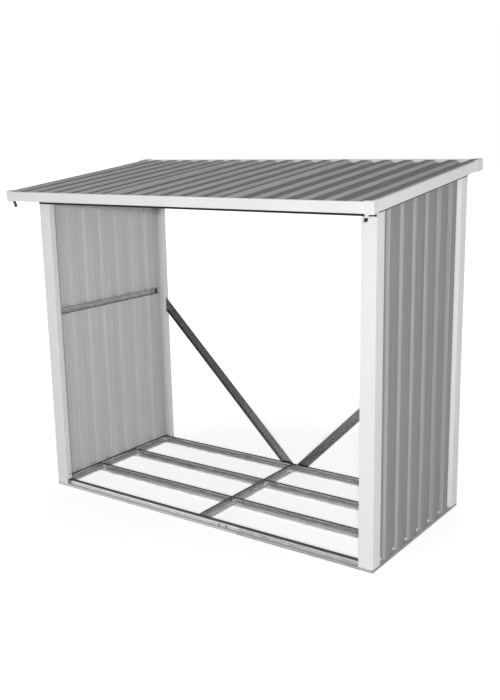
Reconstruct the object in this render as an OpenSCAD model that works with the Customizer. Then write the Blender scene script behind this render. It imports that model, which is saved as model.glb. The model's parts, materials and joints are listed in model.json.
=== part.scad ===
// Log store: an open-fronted and open-backed shelter folded from steel sheet.
// The origin is on the ground at the middle of the base, +X to the right, +Y to the back.

/* [Base frame] */
// Width across the outer faces of the corner posts
base_w = 1676; // [1300:1:2200]
// Depth across the outer faces of the corner posts
base_d = 776; // [600:1:1100]
// Height of the floor rails
rail_h = 32.5; // [28:0.5:60]
// Width of the foot flange of the floor rails
rail_flange = 31; // [22:0.5:50]
// Width of the turned-over top edge of the floor rails
rail_lip = 12; // [8:0.5:18]
// Height of the turned-up edge of the foot flange
rail_toe = 9; // [5:0.5:14]
// Steel thickness of rails, beams and braces
rail_t = 1.2; // [0.8:0.1:2]
// Height of the ledge that the posts and sheets stand on
ledge_h = 13; // [6:0.5:18]
// Width of the bolting tabs on the ends of the joists
tab_w = 22; // [14:0.5:32]
// Distance from the middle to the lap in the front floor rail
front_lap_x = 210; // [200:1:400]
// Distance from the middle to the lap in the back floor rail
rear_lap_x = 160; // [150:1:400]
// Length of the inner tongue at a lap
lap_tongue_l = 90; // [40:1:110]

/* [Corner posts] */
// Width of the front or back face of a post
post_face = 62; // [45:0.5:90]
// Width of the side face of a post
post_side = 58; // [45:0.5:90]
// Depth of the turned-in edge of the post's face
post_return = 30; // [15:0.5:40]
// Width of the lip that laps over the wall sheet
post_lip = 6; // [5:0.5:15]
// Run of the slanted step between the side face and the lip
post_step = 9; // [5:0.5:12]
// Steel thickness of the posts
post_t = 1; // [0.6:0.1:1.6]

/* [Sheets] */
// Steel thickness of the wall and roof sheets
sheet_t = 0.8; // [0.5:0.1:1.2]
// Height of a rib
rib_h = 11; // [7:0.5:16]
// Width of the flat top of a rib
rib_crest = 38; // [25:0.5:44]
// Run of each slanted side of a rib
rib_flank = 9; // [5:0.5:12]
// Nearest whole ribs are fitted to this spacing
rib_pitch = 100; // [92:1:115]
// How far the ribs of the walls lie behind the post faces
wall_recess = 3; // [1:0.5:8]
// How far the cover rib on a roof sheet's right edge stands above its other ribs
cover_lift = 3.5; // [2:0.5:6]
// Width of the flat top of a cover rib
cover_crest = 29; // [20:0.5:32]
// Run of the slanted right side of a cover rib
cover_run = 14; // [10:0.5:16]
// Width of the flat top along the roof's left edge
edge_crest = 9; // [6:0.5:12]

/* [Walls and bracing] */
// Height of the middle of the wall's mid rail
mid_rail_z = 824; // [500:1:1100]
// Height of the mid rail's web
mid_rail_h = 28; // [20:0.5:45]
// Depth of the edges of the mid rails
channel_lip = 12; // [8:0.5:20]
// How far the mid rail runs past the ribbed part of the wall
mid_rail_past = 45; // [8:0.5:50]
// Height of the side beams along the tops of the walls
side_beam_h = 51; // [28:0.5:55]
// Height of the front and back top beams under the roof
beam_h = 61; // [40:0.5:80]
// Depth of the edges of the top beams and side beams
beam_lip = 14; // [10:0.5:20]
// Width of a brace's flat leg
brace_w = 45; // [25:0.5:50]
// Depth of a brace's turned edge
brace_edge = 9.5; // [8:0.5:25]
// Height at which a brace meets its post
brace_top_z = 755; // [500:1:1000]
// Distance from the centre rail's foot at which a brace passes the floor rail's top
brace_foot_x = 45; // [36:1:90]

/* [Roof] */
// Height of the underside of the roof sheets over the front of the base
deck_h = 1378; // [1200:1:1800]
// Slope of the roof, rising to the back
roof_pitch = 6.75; // [3:0.25:12]
// Overhang of the roof past the front of the base
over_front = 130; // [60:1:200]
// Overhang of the roof past the back of the base
over_rear = 10; // [8:1:60]
// Overhang of the roof past each side of the base
over_side = 55; // [30:1:120]
// Height of the face of the roof trims
trim_h = 40.5; // [35:0.5:60]
// Width of the top edge of the roof trims
trim_lip = 6; // [5:0.5:15]
// Width of the bottom edge of the roof trims
trim_foot = 22; // [20:0.5:30]
// Width of the bottom edge of the back trims, which stay clear of the posts
rear_trim_foot = 8; // [4:0.5:9]
// Steel thickness of the roof trims
trim_t = 1; // [0.6:0.1:1.6]
// Distance from the middle to the lap in the front and back trims
trim_lap_x = 62; // [40:1:300]
// Length of a corner cap along the front or back trim
cap_long = 34; // [25:0.5:80]
// Length of a front corner cap along the side trim
cap_short = 32; // [20:0.5:80]
// Length of a back corner cap along the side trim
rear_cap_short = 66; // [20:0.5:80]
// Wall thickness of the corner caps
cap_t = 1.6; // [1.2:0.1:3]
// How far a cap reaches below its trims
cap_drop = 2; // [1:0.5:6]
// How far a cap stands above its trims
cap_rise = 3; // [2:0.5:10]
// Diameter of the dark spouts under the front corners
spout_d = 13; // [8:0.5:16]
// Length of the spouts
spout_l = 28; // [15:0.5:35]
// Lean of the spouts towards the middle
spout_lean = 15; // [0:1:30]
// Distance of a spout's top from the end of the front trim
spout_inset = 30; // [26:0.5:90]

/* [Hidden] */

galvanised = "silver";
painted_grey = "gray";
painted_white = "whitesmoke";
painted_dark = "darkslategray";
dark_plastic = "dimgray";

// Room left where a coped end passes another rail, and past a cut
fit_gap = 1;
cut_past = 5;
// Radius and number of flats of a bend in rails, posts and trims, and of a bend in the sheets
bend_r = 2.5;
sheet_bend_r = 3;
bend_flats = 3;
// Length over which a lap's tongue is joined to its own rail
tongue_root = 8;

half_w = base_w / 2;
half_d = base_d / 2;
// The ledge carries the ribbed sheet, which lies against the floor rail's web
ledge_d = wall_recess + rib_h + sheet_t;
web_x = half_w - ledge_d;
web_y = half_d - ledge_d;
// A joist's full section stops short of the rail's flange and carries on as a tab
cope = rail_flange - rail_t + fit_gap;
cope_z0 = rail_toe + fit_gap;
cope_z1 = rail_h - rail_t - fit_gap;
// The centre rail's web lies left of the middle so that its foot covers the origin
centre_web_x = -8;
joist_y = web_y / 3;
// The braces' feet stand evenly about the centre rail's foot
brace_mid_x = centre_web_x + rail_flange / 2;

// Half the spread of a wall's ribs between the posts, and of the sheet itself, which runs into the posts
wall_zone = half_d - post_side - post_step - post_lip;
wall_half = half_d - beam_lip - fit_gap;
wall_ribs = round(2 * wall_zone / rib_pitch);

// The roof's own frame starts at the front edge of the sheets' underside
roof_y0 = -half_d - over_front;
roof_z0 = deck_z(roof_y0);
roof_len = (over_front + base_d + over_rear) / cos(roof_pitch);
roof_half = half_w + over_side;
sheet_half = roof_half - trim_t;
// Room between the roof sheets and the trims at the sides and at the front and back
sheet_side_gap = 0.5;
sheet_end_gap = trim_lip + 2 * fit_gap;
// Each sheet starts under its left neighbour's cover rib, or with a raised edge, and ends in a cover rib
roof_sheets = 3;
cover_end = cover_crest + cover_run - rib_crest / 2;
cover_w = (2 * sheet_half - 2 * sheet_side_gap + rib_crest / 2 - cover_end) / roof_sheets;
ribs_per_sheet = round(cover_w / rib_pitch);
// The trims' top edges leave room for the ribs and for a trim's tongue
trim_top = rib_h + 2 * sheet_t + 2 * trim_t;
trim_bottom = trim_top - trim_h;
front_beam_z = deck_z(-half_d) - beam_h;
rear_beam_z = deck_z(half_d) - beam_h;

function deck_z(y) = deck_h + (y + half_d) * tan(roof_pitch);
function unit(v) = v / norm(v);
function right_of(d) = [d[1], -d[0]];
function reversed(list) = [for (i = [len(list) - 1 : -1 : 0]) list[i]];

// One corner of a path as the points of an arc of radius r
function bend_points(p, d1, d2, r) =
    let (turn = acos(d1 * d2), inward = unit(d2 - d1 * (d1 * d2)), start = p - d1 * r * tan(turn / 2))
    [for (k = [0 : bend_flats])
        let (a = turn * k / bend_flats) start + d1 * r * sin(a) + inward * r * (1 - cos(a))];

function bent(path, r) =
    let (last = len(path) - 1)
    [for (i = [0 : last]) each
        (i == 0 || i == last) ? [path[i]]
        : bend_points(path[i], unit(path[i] - path[i - 1]), unit(path[i + 1] - path[i]), r)];

// A path moved by t to its right-hand side
function beside(path, t) =
    let (last = len(path) - 1)
    [for (i = [0 : last])
        let (n1 = right_of(unit(path[max(i, 1)] - path[max(i, 1) - 1])),
             n2 = right_of(unit(path[min(i, last - 1) + 1] - path[min(i, last - 1)])))
        path[i] + (n1 + n2) * t / (1 + n1 * n2)];

// Folded section: sheet of thickness t on the right-hand side of a path, inset steps further in
module folded(path, t, r = bend_r, inset = 0) {
    line = bent(path, r);
    polygon(concat(beside(line, inset), reversed(beside(line, inset + t))));
}

// Extrusions of a section: (a, b) becomes (y, z) along X, or (x, z) along Y
module along_x(x0, x1) {
    translate([x0, 0, 0]) rotate([90, 0, 90]) linear_extrude(x1 - x0) children();
}
module along_y(y0, y1) {
    translate([0, y1, 0]) rotate([90, 0, 0]) linear_extrude(y1 - y0) children();
}

// Keeps what lies inside 45 degree cuts at both ends of an edge piece of a rectangle
module mitred(len, outer, inner) {
    h = trim_h + rail_h;
    intersection() {
        children();
        translate([0, 0, -h])
            linear_extrude(2 * h)
                polygon([[-len / 2 - cut_past, outer - cut_past], [len / 2 + cut_past, outer - cut_past],
                         [len / 2 - (inner - outer) - cut_past, inner + cut_past],
                         [-len / 2 + (inner - outer) + cut_past, inner + cut_past]]);
    }
}

// The roof's frame: children are drawn on the flat, Y up the slope and Z off the sheets' underside
module on_roof() {
    translate([0, roof_y0, roof_z0]) rotate([roof_pitch, 0, 0]) children();
}
module under_side_beams() {
    difference() {
        children();
        on_roof() translate([-base_w, -base_d, -side_beam_h]) cube([2 * base_w, 3 * base_d, deck_h]);
    }
}

// Floor rails
function joist_path() = [[-rail_lip, rail_h], [0, rail_h], [0, 0], [-rail_flange, 0], [-rail_flange, rail_toe]];
function edge_path() = [[rail_lip, rail_h], [0, rail_h], [0, ledge_h], [-ledge_d, ledge_h],
                        [-ledge_d, 0], [rail_flange, 0], [rail_flange, rail_toe]];

// Perimeter rail from x0 to x1 on a side of length len, its web on the X axis and its ledge towards -Y
module edge_rail(len, x0, x1, inset = 0) {
    mitred(len, -ledge_d, rail_flange)
        along_x(x0, x1) folded(reversed(edge_path()), rail_t, inset = inset);
}
module lapped_rail(len, lap, tongue) {
    color(galvanised) {
        if (tongue) {
            edge_rail(len, lap, len / 2);
            edge_rail(len, lap - lap_tongue_l, lap + tongue_root, rail_t);
            edge_rail(len, lap, lap + tongue_root, rail_t / 2);
        } else {
            edge_rail(len, -len / 2, lap);
        }
    }
}
module front_base_rail(tongue) {
    translate([0, -web_y, 0]) lapped_rail(base_w, front_lap_x, tongue);
}
module rear_base_rail(tongue) {
    translate([0, web_y, 0]) rotate([0, 0, 180]) lapped_rail(base_w, rear_lap_x, tongue);
}
module side_base_rail(side) {
    color(galvanised)
        translate([side * web_x, 0, 0]) rotate([0, 0, side * 90])
            edge_rail(base_d, -half_d, half_d);
}

// Channel between two webs, from a to b, with coped ends that carry on as bolting tabs
module channel_between(a, b, cope_a, cope_b) {
    tab_h = cope_z1 - cope_z0;
    along_x(a + cope_a, b - cope_b) folded(joist_path(), rail_t);
    for (end = [[a, cope_a, 1], [b, cope_b, -1]])
        translate([end[0], 0, cope_z0])
            mirror([end[2] < 0 ? 1 : 0, 0, 0]) {
                translate([0, -rail_t, 0]) cube([end[1] + fit_gap, rail_t, tab_h]);
                translate([0, -tab_w, 0]) cube([rail_t, tab_w, tab_h]);
            }
}
module joist(y, left) {
    color(galvanised)
        translate([0, y, 0])
            if (left) channel_between(-web_x + rail_t, centre_web_x, cope, 0);
            else channel_between(centre_web_x + rail_t, web_x - rail_t, cope, cope);
}
module centre_floor_rail() {
    color(galvanised)
        translate([centre_web_x, 0, 0]) rotate([0, 0, 90])
            channel_between(-web_y + rail_t, web_y - rail_t, cope, cope);
}

// Corner posts: right is 1 or -1, back is 1 or -1, and beam_z is the underside of the beam on its face
module corner_post(right, back, beam_z) {
    lip_x = web_x + sheet_t + post_t;
    plan = [[half_w - post_face, half_d - post_return], [half_w - post_face, half_d], [half_w, half_d],
            [half_w, half_d - post_side], [lip_x, half_d - post_side - post_step],
            [lip_x, half_d - post_side - post_step - post_lip]];
    color(painted_white)
        under_side_beams()
            difference() {
                translate([0, 0, ledge_h])
                    linear_extrude(deck_z(half_d))
                        scale([right, back]) folded(plan, post_t);
                scale([right, back, 1]) {
                    // The turned-in edge stops above the floor rail
                    translate([half_w - post_face - cut_past, half_d - post_return - cut_past, 0])
                        cube([post_return, post_return + cut_past - bend_r - post_t, rail_h + fit_gap]);
                    // The face stops under the top beam
                    translate([half_w - post_face - cut_past, half_d - post_return - cut_past, beam_z])
                        cube([post_face + cut_past - post_t, post_return + 2 * cut_past, deck_h]);
                }
            }
}

// Corners of a rib with its middle at c, on sheets whose flats lie on the first axis
function rib_points(c) = [[c - rib_crest / 2 - rib_flank, 0], [c - rib_crest / 2, rib_h],
                          [c + rib_crest / 2, rib_h], [c + rib_crest / 2 + rib_flank, 0]];
function wall_path() =
    let (pitch = 2 * wall_zone / wall_ribs)
    concat([[-wall_half, 0]],
           [for (i = [0 : wall_ribs - 1]) each rib_points(-wall_zone + (i + 0.5) * pitch)],
           [[wall_half, 0]]);

module wall_sheet(side) {
    color(painted_grey)
        under_side_beams()
            mirror([side < 0 ? 1 : 0, 0, 0])
                translate([web_x + sheet_t, 0, ledge_h])
                    linear_extrude(deck_z(half_d))
                        rotate(-90) folded(wall_path(), sheet_t, sheet_bend_r);
}

// Shallow channel with its web on the Y axis and both edges turned towards -X
module channel(h, lip, y0, y1) {
    along_y(y0, y1) folded([[-lip, h], [0, h], [0, 0], [-lip, 0]], rail_t);
}
module mid_rail(side) {
    run = wall_zone + mid_rail_past;
    color(galvanised)
        mirror([side < 0 ? 1 : 0, 0, 0])
            translate([web_x, 0, mid_rail_z - mid_rail_h / 2]) channel(mid_rail_h, channel_lip, -run, run);
}
// Beam on top of a wall, its web flush with the posts' side faces and past the ends of the other beams
module side_beam(side) {
    lips_half = half_d - beam_lip - fit_gap;
    color(painted_dark)
        mirror([side < 0 ? 1 : 0, 0, 0])
            intersection() {
                difference() {
                    on_roof() translate([half_w, 0, -side_beam_h]) channel(side_beam_h, beam_lip, 0, roof_len);
                    for (end = [lips_half, -lips_half - base_d])
                        translate([0, end, 0]) cube([half_w - rail_t, base_d, 2 * deck_h]);
                }
                translate([0, -half_d, 0]) cube([base_w, base_d, 2 * deck_h]);
            }
}
// Beam on the post faces, between the side beams' webs; back is 1 or -1
module top_beam(back, bottom) {
    face = back * half_d;
    inner = back * (half_d - beam_lip);
    path = [[inner, bottom], [face, bottom], [face, deck_z(face)], [inner, deck_z(inner)]];
    color(painted_dark)
        along_x(-half_w + rail_t, half_w - rail_t)
            folded(back < 0 ? path : reversed(path), rail_t);
}

// Brace: a flat leg behind the floor rail's web with its lower edge turned to the front, and a tab on the post
module brace(side) {
    post_x = half_w - post_face;
    foot = brace_foot_x + side * brace_mid_x;
    run = post_x - foot;
    rise = brace_top_z - rail_h;
    angle = atan2(rise, run);
    length = norm([run, rise]);
    tab_z = brace_w / cos(angle);
    color(galvanised)
        mirror([side < 0 ? 1 : 0, 0, 0])
            translate([0, web_y, 0]) {
                difference() {
                    translate([foot, 0, rail_h]) rotate([0, -angle, 0]) {
                        translate([-length, 0, -brace_w / 2]) cube([3 * length, rail_t, brace_w]);
                        translate([-length, -brace_edge, -brace_w / 2]) cube([3 * length, brace_edge, rail_t]);
                    }
                    // Cut at the post, at the middle, at the foot and round the floor rail
                    translate([post_x, -base_d, -base_w]) cube([base_w, 2 * base_d, 3 * base_w]);
                    translate([fit_gap - base_w, -base_d, -base_w]) cube([base_w, 2 * base_d, 3 * base_w]);
                    translate([-base_w, -base_d, ledge_h + fit_gap - base_w])
                        cube([3 * base_w, 2 * base_d, base_w]);
                    translate([-base_w, -base_d, -base_w])
                        cube([3 * base_w, base_d, base_w + rail_h + fit_gap]);
                }
                translate([post_x - rail_t, -brace_edge / 2, brace_top_z - tab_z / 2])
                    cube([rail_t, brace_edge / 2 + rail_t, tab_z]);
            }
}

// Roof sheet section, measured from the middle of the left neighbour's cover rib; first has a raised edge
function roof_path(first) =
    let (pitch = cover_w / ribs_per_sheet, left = cover_w - rib_crest / 2, top = rib_h + cover_lift,
         start = rib_crest / 2)
    concat(first ? [[start, rib_h], [start + edge_crest, rib_h], [start + edge_crest + rib_flank, 0]]
                 : [[start, 0]],
           [for (i = [1 : ribs_per_sheet - 1]) each rib_points(i * pitch)],
           [[left - rib_flank, 0], [left, top], [left + cover_crest, top],
            [left + cover_crest + cover_run, sheet_t]]);

// Roof sheet number i from the left
module roof_sheet(i) {
    color(painted_grey)
        on_roof()
            translate([-sheet_half + sheet_side_gap - rib_crest / 2 + i * cover_w, 0, sheet_t])
                along_y(sheet_end_gap, roof_len - sheet_end_gap)
                    folded(roof_path(i == 0), sheet_t, sheet_bend_r);
}

// Roof trims
function trim_path(foot) = [[foot - trim_t, trim_bottom], [-trim_t, trim_bottom],
                            [-trim_t, trim_top], [trim_lip - trim_t, trim_top]];

module edge_trim(len, foot, x0, x1, inset = 0) {
    mitred(len, -trim_t, trim_foot)
        along_x(x0, x1) folded(trim_path(foot), trim_t, inset = inset);
}
module lapped_trim(foot, tongue) {
    len = 2 * roof_half;
    color(painted_white) {
        if (tongue) {
            edge_trim(len, foot, -trim_lap_x, len / 2);
            edge_trim(len, foot, -trim_lap_x - lap_tongue_l, -trim_lap_x + tongue_root, trim_t);
            edge_trim(len, foot, -trim_lap_x, -trim_lap_x + tongue_root, trim_t / 2);
        } else {
            edge_trim(len, foot, -len / 2, -trim_lap_x);
        }
    }
}
module front_trim(tongue) {
    on_roof() lapped_trim(trim_foot, tongue);
}
module rear_trim(tongue) {
    on_roof() translate([0, roof_len, 0]) rotate([0, 0, 180]) lapped_trim(rear_trim_foot, tongue);
}
module side_trim(side) {
    len = roof_len + 2 * trim_t;
    color(painted_white)
        on_roof()
            translate([side * sheet_half, roof_len / 2, 0]) rotate([0, 0, side * 90])
                edge_trim(len, trim_foot, -len / 2, len / 2);
}

// Corner cap: a shell round two trims with a raised rim over their top edges
module corner_cap(side, back) {
    r = 3 * cap_t;
    short = back < 0 ? cap_short : rear_cap_short;
    inner = cap_long + short;
    rim = trim_lip + fit_gap;
    wall_h = trim_h + cap_drop;
    module outline(grow) {
        difference() {
            union() {
                translate([-cap_long, -r]) square([cap_long + cap_t - r, r + cap_t]);
                translate([-r, -short]) square([r + cap_t, short + cap_t - r]);
                translate([cap_t - r, cap_t - r]) circle(r = r, $fn = 48);
                if (grow > 0) {
                    translate([-cap_long, -grow]) square([cap_long, grow]);
                    translate([-grow, -short]) square([grow, short]);
                }
            }
            translate([-inner, -inner]) square([inner - grow, inner - grow]);
        }
    }
    color(painted_white)
        on_roof()
            translate([side * roof_half, back < 0 ? -trim_t : roof_len + trim_t, trim_top])
                scale([side, back, 1]) {
                    translate([0, 0, -wall_h]) linear_extrude(wall_h) outline(0);
                    linear_extrude(cap_rise) outline(rim);
                }
}

// Spout under the front trim's foot near each end, its lower rim rounded
module corner_spout(side) {
    tip = spout_d / 4;
    color(dark_plastic)
        on_roof()
            difference() {
                translate([side * (roof_half - spout_inset), trim_foot / 2 - trim_t, trim_bottom])
                    rotate([0, side * spout_lean, 0])
                        translate([0, 0, -spout_l])
                            rotate_extrude($fn = 48) {
                                translate([0, tip]) square([spout_d / 2, spout_l + spout_d / 2 - tip]);
                                square([spout_d / 2 - tip, spout_l]);
                                intersection() {
                                    translate([spout_d / 2 - tip, tip]) circle(r = tip, $fn = 32);
                                    square([spout_d / 2, spout_l]);
                                }
                            }
                translate([-base_w, -base_d, trim_bottom]) cube([2 * base_w, 2 * base_d, base_d]);
            }
}

front_base_rail(false);  // front_base_rail_left
front_base_rail(true);  // front_base_rail_right
rear_base_rail(true);  // rear_base_rail_left
rear_base_rail(false);  // rear_base_rail_right
side_base_rail(-1);  // left_base_rail
side_base_rail(1);  // right_base_rail
centre_floor_rail();
joist(-joist_y, true);  // front_joist_left
joist(-joist_y, false);  // front_joist_right
joist(joist_y, true);  // rear_joist_left
joist(joist_y, false);  // rear_joist_right
corner_post(-1, -1, front_beam_z);  // front_left_post
corner_post(1, -1, front_beam_z);  // front_right_post
corner_post(-1, 1, rear_beam_z);  // rear_left_post
corner_post(1, 1, rear_beam_z);  // rear_right_post
wall_sheet(-1);  // left_wall_sheet
wall_sheet(1);  // right_wall_sheet
mid_rail(-1);  // left_mid_rail
mid_rail(1);  // right_mid_rail
top_beam(-1, front_beam_z);  // front_top_beam
top_beam(1, rear_beam_z);  // rear_top_beam
side_beam(-1);  // left_side_beam
side_beam(1);  // right_side_beam
brace(-1);  // left_brace
brace(1);  // right_brace
roof_sheet(0);  // roof_sheet_left
roof_sheet(1);  // roof_sheet_middle
roof_sheet(2);  // roof_sheet_right
front_trim(false);  // front_trim_left
front_trim(true);  // front_trim_right
rear_trim(true);  // rear_trim_left
rear_trim(false);  // rear_trim_right
side_trim(-1);  // left_trim
side_trim(1);  // right_trim
corner_cap(-1, -1);  // front_left_cap
corner_cap(1, -1);  // front_right_cap
corner_cap(-1, 1);  // rear_left_cap
corner_cap(1, 1);  // rear_right_cap
corner_spout(-1);  // left_spout
corner_spout(1);  // right_spout
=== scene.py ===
import json
import math
import bpy
import bmesh
from mathutils import Matrix, Vector


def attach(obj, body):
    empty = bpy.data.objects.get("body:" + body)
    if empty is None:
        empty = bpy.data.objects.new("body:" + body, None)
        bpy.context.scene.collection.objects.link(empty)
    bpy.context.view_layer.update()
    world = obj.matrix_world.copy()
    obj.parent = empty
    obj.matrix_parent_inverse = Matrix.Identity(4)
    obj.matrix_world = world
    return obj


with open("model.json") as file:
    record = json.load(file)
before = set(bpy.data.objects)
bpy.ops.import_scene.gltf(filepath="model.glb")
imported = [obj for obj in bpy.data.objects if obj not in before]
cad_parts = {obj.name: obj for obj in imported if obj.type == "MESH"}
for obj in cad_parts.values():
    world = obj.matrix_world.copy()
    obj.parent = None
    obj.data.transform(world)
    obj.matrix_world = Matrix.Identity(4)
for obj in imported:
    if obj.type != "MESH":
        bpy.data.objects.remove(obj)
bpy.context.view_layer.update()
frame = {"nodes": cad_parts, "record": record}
nodes = frame["nodes"]
scene = bpy.context.scene
scene.view_settings.view_transform = "Standard"
print("frame in:", len(nodes), "nodes")

# camera, matched to the photo's 500 x 700 frame
cameraSet = {
    "place": (2.3014, -3.171, 1.5886),
    "turn": 35.758,      # degrees to the left of straight ahead
    "tilt": 13.121,      # degrees down
    "lean": -1.114,
    "sensor": 36,
    "lens": 914.24 * 36 / 700,   # focal length in pixels, over the 700 pixel side
}


def placeCamera(c):
    turn, tilt, lean = (math.radians(c[k]) for k in ("turn", "tilt", "lean"))
    level = math.cos(tilt)
    ahead = Vector((-math.sin(turn) * level, math.cos(turn) * level, -math.sin(tilt)))
    right = Vector((math.cos(turn), math.sin(turn), 0))
    up = right.cross(ahead)
    leanRight = right * math.cos(lean) + up * math.sin(lean)
    leanUp = up * math.cos(lean) - right * math.sin(lean)
    data = bpy.data.cameras.new("photoCamera")
    data.lens = c["lens"]
    data.sensor_width = c["sensor"]
    cam = bpy.data.objects.new("photoCamera", data)
    m = Matrix((leanRight, leanUp, -ahead)).transposed().to_4x4()
    m.translation = c["place"]
    cam.matrix_world = m
    scene.collection.objects.link(cam)
    scene.camera = cam


placeCamera(cameraSet)


def linear(tone):                                 # a 0 to 255 tone as a linear grey
    t = tone / 255
    return t / 12.92 if t <= 0.04045 else ((t + 0.055) / 1.055) ** 2.4


def math2(n, l, operation, first, second):
    m = n.new("ShaderNodeMath")
    m.operation = operation
    for socket, value in zip(m.inputs, (first, second)):
        if isinstance(value, (int, float)):
            socket.default_value = value
        elif value is not None:
            l.new(value, socket)
    return m.outputs[0]


def multiplied(n, l, first, second):
    mix = n.new("ShaderNodeMix")
    mix.data_type = "RGBA"
    mix.blend_type = "MULTIPLY"
    mix.inputs["Factor"].default_value = 1.0
    for name, value in (("A", first), ("B", second)):
        l.new(value, next(i for i in mix.inputs if i.name == name and i.type == "RGBA"))
    return next(o for o in mix.outputs if o.type == "RGBA")


def toneRamp(n, l, height, stops):                # tones by height
    start, end = stops[0][0], stops[-1][0]
    span = n.new("ShaderNodeMapRange")
    span.inputs["From Min"].default_value = start
    span.inputs["From Max"].default_value = end
    l.new(height, span.inputs["Value"])
    ramp = n.new("ShaderNodeValToRGB")
    while len(ramp.color_ramp.elements) < len(stops):
        ramp.color_ramp.elements.new(0.5)
    for e, (at, tone) in zip(ramp.color_ramp.elements, stops):
        e.position = (at - start) / (end - start)
        e.color = (*[linear(tone)] * 3, 1)
    l.new(span.outputs["Result"], ramp.inputs["Fac"])
    return ramp.outputs["Color"]


noiseSet = {"toneEnds": (0.3, 0.7), "markDetail": 5, "peelDetail": 3, "peelDepth": 0.0004}


# finishes: each one is a noise for the colour and the gloss, and a finer one for the bump
def nodeFinish(name, f):
    m = bpy.data.materials.new(name)
    m.use_nodes = True
    n, l = m.node_tree.nodes, m.node_tree.links
    b = n["Principled BSDF"]
    b.inputs["Metallic"].default_value = f.get("metal", 0.0)
    b.inputs["Specular IOR Level"].default_value = f.get("gloss", 0.3)
    place = n.new("ShaderNodeTexCoord")
    split = n.new("ShaderNodeSeparateXYZ")
    l.new(place.outputs["Object"], split.inputs["Vector"])
    stretch = n.new("ShaderNodeMapping")          # stretches the marks along the rolling direction
    stretch.inputs["Scale"].default_value = f["stretch"]
    l.new(place.outputs["Object"], stretch.inputs["Vector"])
    marks = n.new("ShaderNodeTexNoise")
    marks.inputs["Scale"].default_value = f["markScale"]
    marks.inputs["Detail"].default_value = noiseSet["markDetail"]
    l.new(stretch.outputs["Vector"], marks.inputs["Vector"])
    tone = n.new("ShaderNodeValToRGB")
    low, high = tone.color_ramp.elements
    low.position, high.position = noiseSet["toneEnds"]
    low.color = (*f["dark"], 1)
    high.color = (*f["light"], 1)
    l.new(marks.outputs["Fac"], tone.inputs["Fac"])
    colour = tone.outputs["Color"]
    if "bands" in f:                              # tones by height: painted shade on the rails' top edges and ledge face; the spout white above and dark below
        colour = multiplied(n, l, colour, toneRamp(n, l, split.outputs["Z"], f["bands"]))
    if "lines" in f:                              # fine rolled lines across the sheet
        lines = f["lines"]
        turns = math2(n, l, "MULTIPLY", split.outputs[lines["axis"]], 2 * math.pi / lines["pitch"])
        swing = math2(n, l, "SINE", turns, None)
        share = math2(n, l, "ADD", math2(n, l, "MULTIPLY", swing, lines["tone"]), 1.0)
        colour = multiplied(n, l, colour, share)
    l.new(colour, b.inputs["Base Color"])
    rough = n.new("ShaderNodeMapRange")
    rough.inputs["To Min"].default_value, rough.inputs["To Max"].default_value = f["rough"]
    l.new(marks.outputs["Fac"], rough.inputs["Value"])
    l.new(rough.outputs["Result"], b.inputs["Roughness"])
    peel = n.new("ShaderNodeTexNoise")            # orange peel of the coating or the metal's grain
    peel.inputs["Scale"].default_value = f["peelScale"]
    peel.inputs["Detail"].default_value = noiseSet["peelDetail"]
    l.new(place.outputs["Object"], peel.inputs["Vector"])
    bump = n.new("ShaderNodeBump")
    bump.inputs["Strength"].default_value = f["bump"]
    bump.inputs["Distance"].default_value = noiseSet["peelDepth"]
    height = peel.outputs["Fac"]
    if "lines" in f:
        height = math2(n, l, "ADD", math2(n, l, "MULTIPLY", swing, lines["depth"]), height)
    l.new(height, bump.inputs["Height"])
    l.new(bump.outputs["Normal"], b.inputs["Normal"])
    return m


whiteCoat = {"dark": (0.82, 0.82, 0.82), "light": (0.86, 0.86, 0.86), "rough": (0.55, 0.65),
             "stretch": (1, 1, 0.4), "markScale": 6, "peelScale": 900, "bump": 0.05, "gloss": 0.15}
whiteMould = {"dark": (0.78, 0.78, 0.765), "light": (0.84, 0.84, 0.825), "rough": (0.55, 0.7),
              "stretch": (1, 1, 1), "markScale": 30, "peelScale": 700, "bump": 0.08, "gloss": 0.2}
greyCoat = {"dark": (0.29, 0.285, 0.285), "light": (0.35, 0.345, 0.345), "rough": (0.5, 0.6),
            "stretch": (1, 1, 0.02), "markScale": 110, "peelScale": 900, "bump": 0.08, "gloss": 0.1}
greyWall = dict(greyCoat, lines={"axis": "Y", "pitch": 0.0115, "depth": 1.0, "tone": 0.09}, bump=0.12)
# the walls' rib slopes outside: paler paint, a painted light on the slopes
flankWallPaintedLight = dict(greyWall, dark=(0.37, 0.365, 0.365), light=(0.43, 0.425, 0.425))
greyRoof = dict(greyCoat, gloss=0.0, stretch=(1, 0.02, 1),
                lines={"axis": "X", "pitch": 0.0115, "depth": 0.5, "tone": 0.03})
# the roof's rib slopes: paler paint, a painted light on the slopes
slopeRoof = dict(greyRoof, dark=(0.48, 0.475, 0.475), light=(0.55, 0.545, 0.545))
paleBack = {"dark": (0.61, 0.61, 0.61), "light": (0.68, 0.68, 0.68), "rough": (0.5, 0.6),
            "stretch": (1, 1, 0.02), "markScale": 110, "peelScale": 900, "bump": 0.1, "gloss": 0.2,
            "lines": {"axis": "Y", "pitch": 0.0115, "depth": 1.0, "tone": 0.05}}
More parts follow.
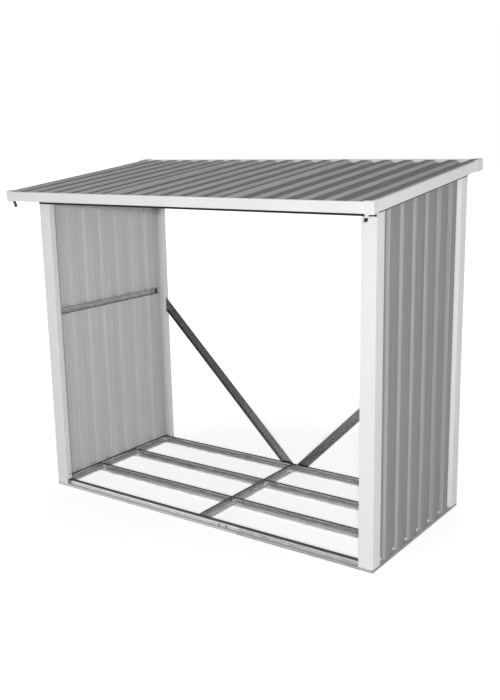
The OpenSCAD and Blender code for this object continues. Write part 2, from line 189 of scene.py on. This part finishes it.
# the walls' rib slopes inside: darker paint, a painted shade on the slopes
flankBackPaintedShade = dict(paleBack, dark=(0.56, 0.56, 0.56), light=(0.62, 0.62, 0.62))
darkCoat = {"dark": (0.016, 0.016, 0.017), "light": (0.03, 0.03, 0.032), "rough": (0.45, 0.6),
            "stretch": (0.2, 1, 1), "markScale": 30, "peelScale": 800, "bump": 0.08, "gloss": 0.2}
spoutMould = dict(whiteMould, bands=[(1.31, 40), (1.3225, 40), (1.3245, 250), (1.34, 250)])   # white above and dark below
darkMould = {"dark": (0.012, 0.012, 0.013), "light": (0.025, 0.025, 0.027), "rough": (0.3, 0.45),
             "stretch": (1, 1, 1), "markScale": 60, "peelScale": 600, "bump": 0.06, "gloss": 0.5}
zincX = {"dark": (0.50, 0.505, 0.51), "light": (0.84, 0.845, 0.85), "rough": (0.18, 0.34),
         "stretch": (0.12, 1, 1), "markScale": 160, "peelScale": 500, "bump": 0.1, "metal": 0.92, "gloss": 0.5}
zincY = dict(zincX, stretch=(1, 0.12, 1))
# pale zinc for the screw heads, and a painted sheen on the rails' bottom flanges
paleZincAndSheen = {"dark": (0.78, 0.785, 0.79), "light": (0.94, 0.94, 0.94), "rough": (0.3, 0.5),
            "stretch": (1, 1, 1), "markScale": 160, "peelScale": 500, "bump": 0.1, "metal": 0.1}
# the ledge tops painted paler, a painted light against the shade in the valleys; the mid rails' end plates
# take it too
ledgeLiftAndPlateZinc = dict(paleZincAndSheen, dark=(0.42, 0.425, 0.43), light=(0.52, 0.52, 0.52))
# the turned-over top edges: near black, a painted shade on the level lips
zincEdgePaintedShade = {"dark": (0.028, 0.029, 0.030), "light": (0.06, 0.061, 0.062), "rough": (0.45, 0.6),
            "stretch": (0.3, 0.3, 1), "markScale": 120, "peelScale": 500, "bump": 0.1, "metal": 0.6}

finishes = {
    "white_paint": nodeFinish("whiteCoat", whiteCoat),
    "white_plastic": nodeFinish("whiteMould", whiteMould),
    "dark_paint": nodeFinish("darkCoat", darkCoat),
    "dark_plastic": nodeFinish("darkMould", darkMould),
}
wallFinish, flankPaintedLight = nodeFinish("greyWall", greyWall), nodeFinish("flankWallPaintedLight", flankWallPaintedLight)
backFinish, backFlankPaintedShade = nodeFinish("paleBack", paleBack), nodeFinish("flankBackPaintedShade", flankBackPaintedShade)
roofFinish, roofSlope = nodeFinish("greyRoof", greyRoof), nodeFinish("slopeRoof", slopeRoof)
zincTopPaintedShade = nodeFinish("zincEdgePaintedShade", zincEdgePaintedShade)
flangeSheenAndScrewZinc, shelfLiftAndPlates = nodeFinish("paleZincAndSheen", paleZincAndSheen), nodeFinish("ledgeLiftAndPlateZinc", ledgeLiftAndPlateZinc)
spoutFinish = nodeFinish("spoutMould", spoutMould)

bendAngle = 36                                    # degrees; below it an edge is a round bend


def dress(o, finish):
    o.data.materials.clear()
    o.data.materials.append(finish)
    o.data.polygons.foreach_set("use_smooth", [True] * len(o.data.polygons))
    o.data.set_sharp_from_angle(angle=math.radians(bendAngle))   # bends round, cut edges crisp
    weights = o.modifiers.new("weights", "WEIGHTED_NORMAL")
    weights.keep_sharp = True


# the zinc: lengths with a painted sheen, plain lengths and lengths in painted shade; on the floor's rails,
# painted shade on the top edges and the front ledge face, and paler bottom flanges and ledge tops as painted
# light
railTop = max(v.co.z for v in nodes["centre_floor_rail"].data.vertices)
ledgeTop = 0.013
# painted shade by height: darker on the rails' top edges, and on the front rails' ledge face below the ledge
# top
riseShadeTones = {
    "outer": [(0, 200), (ledgeTop - 0.0005, 200), (ledgeTop + 0.0005, 255),
              (railTop - 0.0075, 255), (railTop - 0.0062, 118)],
    "inner": [(0, 255), (railTop - 0.0085, 255), (railTop - 0.007, 100)],
}
# lengths in painted shade: the braces, the mid rails and the right rail are painted darker
zincPaintedShade = {"dark": (0.13, 0.132, 0.135), "light": (0.30, 0.302, 0.305)}
paintedShadePieces = ("left_brace", "right_brace", "right_base_rail", "left_mid_rail", "right_mid_rail")
# a painted sheen: the left half of the front rail is painted paler
zincPaintedSheen = {"dark": (0.74, 0.745, 0.75), "light": (0.97, 0.97, 0.97)}
paintedSheenPieces = ("front_base_rail_left",)
railFaces = {"lipSlope": 0.3, "lipDepth": 0.003, "level": 0.9, "flangeTop": 0.005, "ledgeSlack": 0.001}


def dressZinc(o):
    finish = dict(zincY if o.dimensions.y > o.dimensions.x else zincX)
    if o.name in paintedShadePieces:
        finish.update(zincPaintedShade)
    elif o.name in paintedSheenPieces:
        finish.update(zincPaintedSheen)
    if "brace" in o.name:
        finish["stretch"] = (1, 1, 1)             # the braces lean, so their marks have no direction
    low = "brace" not in o.name and "mid" not in o.name
    if low:
        finish["bands"] = riseShadeTones["outer" if o.name.startswith("front_base") else "inner"]
    dress(o, nodeFinish(o.name + "Zinc", finish))
    if not low:
        return
    for m in (zincTopPaintedShade, flangeSheenAndScrewZinc, shelfLiftAndPlates):
        o.data.materials.append(m)
    r = railFaces
    for f in o.data.polygons:
        up, height = f.normal.z, f.center.z
        if up > r["lipSlope"] and height > railTop - r["lipDepth"]:
            f.material_index = 1                  # turned-over top edge, in painted shade
        elif up > r["level"] and height < r["flangeTop"]:
            f.material_index = 2                  # bottom flange, painted paler: a painted sheen
        elif up > r["level"] and abs(height - ledgeTop) < r["ledgeSlack"]:
            f.material_index = 3                  # ledge top, painted paler: painted light against the shade in the valleys


for part in frame["record"]["subparts"]:
    o, slot = nodes[part["node"]], part["material_slot"]
    if slot == "grey_paint":
        dress(o, roofFinish if o.name.startswith("roof") else wallFinish)
    elif slot == "galvanised":
        dressZinc(o)
    elif o.name == "right_spout":
        dress(o, spoutFinish)
    else:
        dress(o, finishes[slot])

ribFaces = {"wallInside": -0.2, "wallSlope": 0.35, "roofSlope": 0.3}   # which way a face has to point
for side, name in ((-1, "left_wall_sheet"), (1, "right_wall_sheet")):
    o = nodes[name]
    for m in (backFinish, flankPaintedLight, backFlankPaintedShade):
        o.data.materials.append(m)                # the sheets' inner faces have the paler back coat; the rib slopes get painted light outside and painted shade inside
    for f in o.data.polygons:
        inside, slope = f.normal.x * side < ribFaces["wallInside"], abs(f.normal.y) > ribFaces["wallSlope"]
        f.material_index = (1 if inside else 0) + (2 if slope else 0)
# the roof's rib slopes get the paler paint, a painted light chosen by which way each face points
for o in (nodes[k] for k in nodes if k.startswith("roof_sheet")):
    o.data.materials.append(roofSlope)
    for f in o.data.polygons:
        f.material_index = 1 if abs(f.normal.x) > ribFaces["roofSlope"] else 0
print("finishes on")


# small fixings, each kind one mesh of many
sides = (-1, 1)
roundCount, hexCount, dishCount, headTwist = 24, 6, 16, 0.3
dishProfile = ((0.55, -0.0001), (0.5, 0.0004), (0.3, 0.0007))   # share of the head, height


def ring(bm, axes, place, radius, height, count, twist=0.0):
    u, v, w = axes
    return [bm.verts.new(place + (u * math.cos(a) + v * math.sin(a)) * radius + w * height)
            for a in (twist + 2 * math.pi * k / count for k in range(count))]


def lathe(bm, place, out, profile, count, twist=0.0):
    w = Vector(out).normalized()
    u = w.orthogonal().normalized()
    axes = (u, w.cross(u), w)
    rings = [ring(bm, axes, Vector(place), r, h, count, twist) for r, h in profile]
    for a, b in zip(rings, rings[1:]):
        for k in range(count):
            bm.faces.new((a[k], a[(k + 1) % count], b[(k + 1) % count], b[k]))
    bm.faces.new(rings[-1])
    bm.faces.new(list(reversed(rings[0])))


def addFixings(name, spots, head, finish):
    bm = bmesh.new()
    for place, out in spots:
        r, h, t, wide = (head[k] for k in ("headR", "headH", "washerT", "washerR"))
        lathe(bm, place, out, [(wide, 0), (wide, t * 0.6), (wide * 0.9, t), (r, t)], roundCount)
        way = Vector(out).normalized()
        base = Vector(place) + way * t
        count = hexCount if head["hex"] else roundCount
        lathe(bm, base, out, [(r, 0), (r, h * 0.75), (r * 0.86, h)], count, headTwist)
        lathe(bm, base + way * h, out, [(r * share, up) for share, up in dishProfile], dishCount)
    mesh = bpy.data.meshes.new(name)
    bm.to_mesh(mesh)
    bm.free()
    o = bpy.data.objects.new(name, mesh)
    scene.collection.objects.link(o)
    dress(o, finish)
    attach(o, "root")


smallHead = {"headR": 0.0024, "headH": 0.0016, "washerR": 0.0032, "washerT": 0.0005, "hex": True}
domeHead = {"headR": 0.0044, "headH": 0.0024, "washerR": 0.0066, "washerT": 0.0008, "hex": False}

wallScrewSet = {"y": (-0.302, -0.193, -0.088, 0.017, 0.122, 0.227), "z": 0.021, "x": 0.824}
spots = [((s * wallScrewSet["x"], y, wallScrewSet["z"]), (s, 0, 0))
         for s in sides for y in wallScrewSet["y"]]
addFixings("wallScrews", spots, domeHead, flangeSheenAndScrewZinc)

# bolts through the tabs of the joists, beside each corner
tabBoltSet = {"webX": 0.8232, "centreX": -0.008, "centreT": 0.0012, "webY": 0.3732, "joistY": 0.1244,
              "tab": 0.0024, "back": 0.011, "z": (0.0155, 0.0255)}


def tabBolts(t):
    out = []
    for z in t["z"]:
        for y in (-t["joistY"], t["joistY"]):
            out.append(((-t["webX"] + t["tab"], y - t["back"], z), (1, 0, 0)))
            out.append(((t["centreX"] + t["tab"] + t["centreT"], y - t["back"], z), (1, 0, 0)))
            out.append(((t["webX"] - t["tab"], y - t["back"], z), (-1, 0, 0)))
        out.append(((t["centreX"] + t["back"], t["webY"] - t["tab"], z), (0, -1, 0)))
    return out


addFixings("tabBolts", tabBolts(tabBoltSet), smallHead, finishes["dark_paint"])

# bolts at the front rail's lap and on the front posts' returns
lapBoltSet = {"x": (0.111, 0.147), "y": -0.3744, "z": 0.0175}
spots = [((x, lapBoltSet["y"], lapBoltSet["z"]), (0, -1, 0)) for x in lapBoltSet["x"]]
footBoltSet = {"x": 0.776, "y": -0.369, "z": (0.0572, 0.0326, 0.0165)}
spots += [((s * footBoltSet["x"], footBoltSet["y"], z), (-s, 0, 0))
          for s in sides for z in footBoltSet["z"]]
addFixings("footBolts", spots, smallHead, finishes["dark_paint"])

# screws in the front top beam
beamScrewSet = {"x": (-0.26, 0.267), "y": -0.388, "z": 1.3307}
spots = [((x, beamScrewSet["y"], beamScrewSet["z"]), (0, -1, 0)) for x in beamScrewSet["x"]]
addFixings("beamScrews", spots, smallHead, flangeSheenAndScrewZinc)

# plates in the ends of the mid rails, each with a bolt
plateSet = {"x": 0.822, "y": 0.338, "boltY": 0.341, "z": 0.824, "w": 0.042, "h": 0.021, "t": 0.0015,
            "cut": 0.003, "edge": 0.0006}


def addPlates(p):
    bm = bmesh.new()
    for s in sides:
        for back in sides:
            rows = []
            for depth, inset in ((0, 0), (p["t"] * 0.6, 0), (p["t"], p["edge"])):
                w, h, c = p["w"] / 2 - inset, p["h"] / 2 - inset, p["cut"]
                corners = [(w, h - c), (w - c, h), (c - w, h), (-w, h - c),
                           (-w, c - h), (c - w, -h), (w - c, -h), (w, c - h)]
                rows.append([bm.verts.new((s * (p["x"] - depth), back * p["y"] + a, p["z"] + b))
                             for a, b in corners])
            count = len(corners)
            for a, b in zip(rows, rows[1:]):
                for k in range(count):
                    bm.faces.new((a[k], a[(k + 1) % count], b[(k + 1) % count], b[k]))
            bm.faces.new(rows[0])
            bm.faces.new(rows[-1])
    bmesh.ops.recalc_face_normals(bm, faces=bm.faces)
    mesh = bpy.data.meshes.new("railPlates")
    bm.to_mesh(mesh)
    bm.free()
    o = bpy.data.objects.new("railPlates", mesh)
    scene.collection.objects.link(o)
    dress(o, shelfLiftAndPlates)
    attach(o, "root")


addPlates(plateSet)
wideHead = {"headR": 0.006, "headH": 0.003, "washerR": 0.0098, "washerT": 0.001, "hex": True}
spots = [((s * (plateSet["x"] - plateSet["t"]), back * plateSet["boltY"], plateSet["z"]), (-s, 0, 0))
         for s in sides for back in sides]
addFixings("plateBolts", spots, wideHead, finishes["dark_paint"])
print("fixings on")

# floor, world and lamp
stageSet = {
    "floor": (0.9, 0.9, 0.9), "floorReach": 40, "floorDrop": 0.0005, "floorRough": 0.9,
    "glow": (0.58, 0.95),          # of the floor, near the store and away from it
    "glowReach": (0.9, 2.6),
    "horizon": 2.1, "zenith": 0.34, "bandTop": 0.33,
    "rightShare": 0.82, "rightReach": (-0.3, 0.9),
    "keyPlace": (3.1, -4.5, 1.87), "keyAim": (0, 0, 0.7), "keySize": 0.2, "keyPower": 108.0,
}


def setRange(node, fromEnds, toEnds):
    node.inputs["From Min"].default_value, node.inputs["From Max"].default_value = fromEnds
    node.inputs["To Min"].default_value, node.inputs["To Max"].default_value = toEnds


def seenRays(n, l):
    path = n.new("ShaderNodeLightPath")
    first = math2(n, l, "MAXIMUM", path.outputs["Is Camera Ray"], path.outputs["Is Glossy Ray"])
    return math2(n, l, "MAXIMUM", first, path.outputs["Is Transmission Ray"])


def stageFloor(s):
    mesh = bpy.data.meshes.new("floor")
    r = s["floorReach"]
    mesh.from_pydata([(-r, -r, 0), (r, -r, 0), (r, r, 0), (-r, r, 0)], [], [(0, 1, 2, 3)])
    o = bpy.data.objects.new("floor", mesh)
    o.location.z = -s["floorDrop"]
    scene.collection.objects.link(o)
    m = bpy.data.materials.new("floorPale")
    m.use_nodes = True
    n, l = m.node_tree.nodes, m.node_tree.links
    b = n["Principled BSDF"]
    b.inputs["Base Color"].default_value = (*s["floor"], 1)
    b.inputs["Roughness"].default_value = s["floorRough"]
    b.inputs["Specular IOR Level"].default_value = 0.0
    glow = n.new("ShaderNodeEmission")
    place = n.new("ShaderNodeTexCoord")
    away = n.new("ShaderNodeVectorMath")
    away.operation = "LENGTH"
    l.new(place.outputs["Object"], away.inputs[0])
    grow = n.new("ShaderNodeMapRange")            # the shadow stays by the store and the horizon goes
    setRange(grow, s["glowReach"], s["glow"])
    l.new(away.outputs["Value"], grow.inputs["Value"])
    l.new(math2(n, l, "MULTIPLY", seenRays(n, l), grow.outputs["Result"]), glow.inputs["Strength"])
    both = n.new("ShaderNodeAddShader")
    l.new(b.outputs[0], both.inputs[0])
    l.new(glow.outputs[0], both.inputs[1])
    l.new(both.outputs[0], n["Material Output"].inputs["Surface"])
    mesh.materials.append(m)


def skyLight(s):
    world = bpy.data.worlds.new("studio")
    scene.world = world
    world.use_nodes = True
    n, l = world.node_tree.nodes, world.node_tree.links
    soft = n["Background"]
    soft.inputs["Color"].default_value = (1, 1, 1, 1)
    place = n.new("ShaderNodeTexCoord")
    split = n.new("ShaderNodeSeparateXYZ")
    l.new(place.outputs["Generated"], split.inputs["Vector"])
    fall = n.new("ShaderNodeMapRange")            # soft light all round, less from above
    fall.interpolation_type = "SMOOTHSTEP"
    setRange(fall, (0.0, s["bandTop"]), (s["horizon"], s["zenith"]))
    l.new(split.outputs["Z"], fall.inputs["Value"])
    side = n.new("ShaderNodeMapRange")            # weaker on the right
    setRange(side, s["rightReach"], (1.0, s["rightShare"]))
    l.new(split.outputs["X"], side.inputs["Value"])
    l.new(math2(n, l, "MULTIPLY", fall.outputs["Result"], side.outputs["Result"]), soft.inputs["Strength"])
    plain = n.new("ShaderNodeBackground")
    plain.inputs["Color"].default_value = (1, 1, 1, 1)
    plain.inputs["Strength"].default_value = 1.0
    pick = n.new("ShaderNodeMixShader")
    l.new(seenRays(n, l), pick.inputs["Fac"])
    l.new(soft.outputs[0], pick.inputs[1])
    l.new(plain.outputs[0], pick.inputs[2])
    l.new(pick.outputs[0], n["World Output"].inputs["Surface"])


def keyLight(s):
    d = bpy.data.lights.new("keyLamp", "AREA")
    d.energy = s["keyPower"]
    d.size = s["keySize"]
    o = bpy.data.objects.new("keyLamp", d)
    o.location = s["keyPlace"]
    o.rotation_euler = (Vector(s["keyAim"]) - Vector(s["keyPlace"])).to_track_quat("-Z", "Y").to_euler()
    scene.collection.objects.link(o)


stageFloor(stageSet)
skyLight(stageSet)
keyLight(stageSet)
print("stage set")
